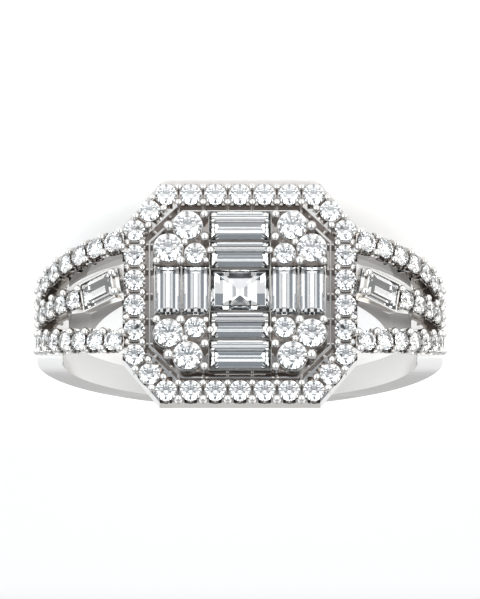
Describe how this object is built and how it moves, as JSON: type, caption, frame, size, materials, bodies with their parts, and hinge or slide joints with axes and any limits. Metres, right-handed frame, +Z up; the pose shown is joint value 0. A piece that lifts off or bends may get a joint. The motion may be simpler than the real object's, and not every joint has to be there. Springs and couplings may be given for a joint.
{
  "type": "finger ring",
  "caption": "Statement ring with an octagonal stone halo round a cross of step-cut stones, on a split shank set with three rows of small stones on each shoulder.",
  "frame": {"origin": "centre of the box round the resting ring, on the surface it rests on", "axes": "+Z up from the surface; -Y towards the face of the head, +Y towards the back of the shank; +X across the head. The finger hole's axis leans from +Z towards +Y by the resting tilt of 14.1 degrees"},
  "size_m": [0.0202, 0.0216, 0.0109],
  "materials": {
    "white_gold": "polished",
    "stone": "polished"
  },
  "bodies": {
    "root": {"setting": "white_gold", "centre_stone": "stone", "left_outer_baguette": "stone", "left_inner_baguette": "stone", "right_inner_baguette": "stone", "right_outer_baguette": "stone", "top_outer_baguette": "stone", "top_inner_baguette": "stone", "bottom_inner_baguette": "stone", "bottom_outer_baguette": "stone", "top_left_upper_round": "stone", "top_left_side_round": "stone", "top_left_small_round": "stone", "top_right_upper_round": "stone", "top_right_side_round": "stone", "top_right_small_round": "stone", "bottom_left_lower_round": "stone", "bottom_left_side_round": "stone", "bottom_left_small_round": "stone", "bottom_right_lower_round": "stone", "bottom_right_side_round": "stone", "bottom_right_small_round": "stone", "left_shoulder_baguette": "stone", "right_shoulder_baguette": "stone", "halo_stones": "stone", "left_top_row_stones": "stone", "left_middle_row_stones": "stone", "left_bottom_row_stones": "stone", "right_top_row_stones": "stone", "right_middle_row_stones": "stone", "right_bottom_row_stones": "stone"}
  },
  "joints": []
}
